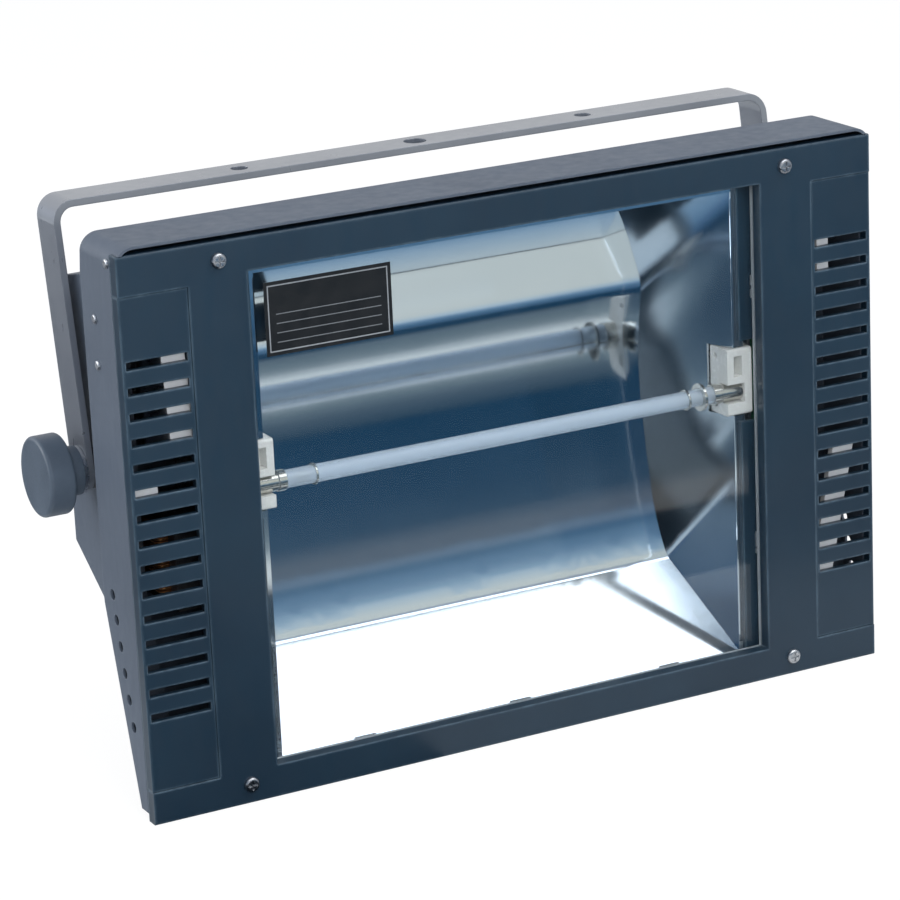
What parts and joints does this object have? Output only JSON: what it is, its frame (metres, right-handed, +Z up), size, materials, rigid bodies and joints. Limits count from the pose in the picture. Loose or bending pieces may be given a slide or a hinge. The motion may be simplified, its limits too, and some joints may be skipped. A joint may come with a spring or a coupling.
{
  "type": "xenon stroboscope floodlight",
  "caption": "Wide xenon stroboscope with a parabolic trough reflector, straight flash tube, louvred front cover and hanging yoke with clamp knobs.",
  "frame": {"origin": "centre of the yoke's clamp hole, on the top face of the strap", "axes": "+X along the lamp to the right seen from the front, +Y from the window to the rear, +Z up out of the clamp hole"},
  "size_m": [0.4608, 0.1255, 0.296],
  "materials": {
    "yoke_paint": "light grey powder coat",
    "cover_paint": "dark slate blue powder coat, satin",
    "housing_paint": "blue-grey powder coat, satin",
    "knob_plastic": "moulded, slightly grained",
    "zinc_steel": "zinc plated",
    "nickel": "nickel plated",
    "chrome_wire": "bright plated wire",
    "aluminium": "plain",
    "can_aluminium": "sleeved can",
    "core_steel": "varnished laminations",
    "copper": "enamelled winding under tape",
    "brass": "plain",
    "glass": "clear",
    "mirror": "polished anodised sheet",
    "rubber": "plain",
    "fibre": "pressed fibre",
    "ceramic": "glazed steatite",
    "label_film": "plain black film",
    "black_plastic": "glass filled",
    "dial_plastic": "plain",
    "board": "resist over copper",
    "components": "moulded cases",
    "red_lens": "translucent red"
  },
  "bodies": {
    "yoke": {"yoke": "yoke_paint", "friction_washers": "fibre"},
    "head": {"address_switches": "black_plastic", "board_parts": "components", "board_standoffs": "brass", "capacitor_clamps": "zinc_steel", "capacitors": "can_aluminium", "chassis_plate": "cover_paint", "choke_bracket": "zinc_steel", "choke_coil": "copper", "choke_core": "core_steel", "control_board": "board", "cover_posts": "zinc_steel", "cover_screws": "zinc_steel", "earth_stud": "brass", "fan_frame": "black_plastic", "fan_guard": "chrome_wire", "fan_screws": "zinc_steel", "flash_tube": "glass", "front_cover": "cover_paint", "fuse_holder": "black_plastic", "glass_clips": "zinc_steel", "glass_gasket": "rubber", "glass_label": "label_film", "holder_brackets": "zinc_steel", "housing_rivets": "aluminium", "indicator_lamp": "red_lens", "inlet_pins": "brass", "lamp_holders": "ceramic", "pivot_nuts": "zinc_steel", "power_inlet": "black_plastic", "rear_housing": "housing_paint", "rear_panel": "housing_paint", "rear_panel_screws": "zinc_steel", "reflector_ends": "mirror", "reflector_trough": "mirror", "rubber_feet": "rubber", "safety_eye": "zinc_steel", "side_chassis": "zinc_steel", "signal_sockets": "zinc_steel", "tray_shell": "housing_paint", "trigger_coil": "components", "trigger_wire": "nickel", "tube_electrodes": "nickel", "tube_end_caps": "nickel", "tube_rings": "nickel", "vent_panel_left": "cover_paint", "vent_panel_right": "cover_paint", "window_glass": "glass"},
    "knob_left": {"knob_left": "knob_plastic", "knob_washer_left": "zinc_steel", "clamp_stud_left": "zinc_steel"},
    "knob_right": {"knob_right": "knob_plastic", "knob_washer_right": "zinc_steel", "clamp_stud_right": "zinc_steel"},
    "fan_rotor": {"fan_rotor": "black_plastic"},
    "fuse_cap": {"fuse_cap": "black_plastic"},
    "address_dial_1": {"address_dial_1": "dial_plastic"},
    "address_dial_2": {"address_dial_2": "dial_plastic"},
    "address_dial_3": {"address_dial_3": "dial_plastic"}
  },
  "joints": [
    {"name": "tilt", "type": "hinge", "parent": "yoke", "child": "head", "pos_m": [0, -0.02234, -0.1335], "axis": [1, 0, 0], "range_deg": [-18, 120]},
    {"name": "clamp_left", "type": "hinge", "parent": "yoke", "child": "knob_left", "pos_m": [-0.206, -0.02234, -0.1335], "axis": [-1, 0, 0], "continuous": true},
    {"name": "clamp_right", "type": "hinge", "parent": "yoke", "child": "knob_right", "pos_m": [0.206, -0.02234, -0.1335], "axis": [1, 0, 0], "continuous": true},
    {"name": "fan_spin", "type": "hinge", "parent": "head", "child": "fan_rotor", "pos_m": [0, -0.00134, -0.106], "axis": [0, -1, 0], "continuous": true},
    {"name": "fuse_cap_turn", "type": "hinge", "parent": "head", "child": "fuse_cap", "pos_m": [0.118, 0.01206, -0.148], "axis": [0, 1, 0], "range_deg": [0, 90]},
    {"name": "address_turn_1", "type": "hinge", "parent": "head", "child": "address_dial_1", "pos_m": [-0.124, 0.00866, -0.148], "axis": [0, 1, 0], "continuous": true},
    {"name": "address_turn_2", "type": "hinge", "parent": "head", "child": "address_dial_2", "pos_m": [-0.104, 0.00866, -0.148], "axis": [0, 1, 0], "continuous": true},
    {"name": "address_turn_3", "type": "hinge", "parent": "head", "child": "address_dial_3", "pos_m": [-0.084, 0.00866, -0.148], "axis": [0, 1, 0], "continuous": true}
  ]
}
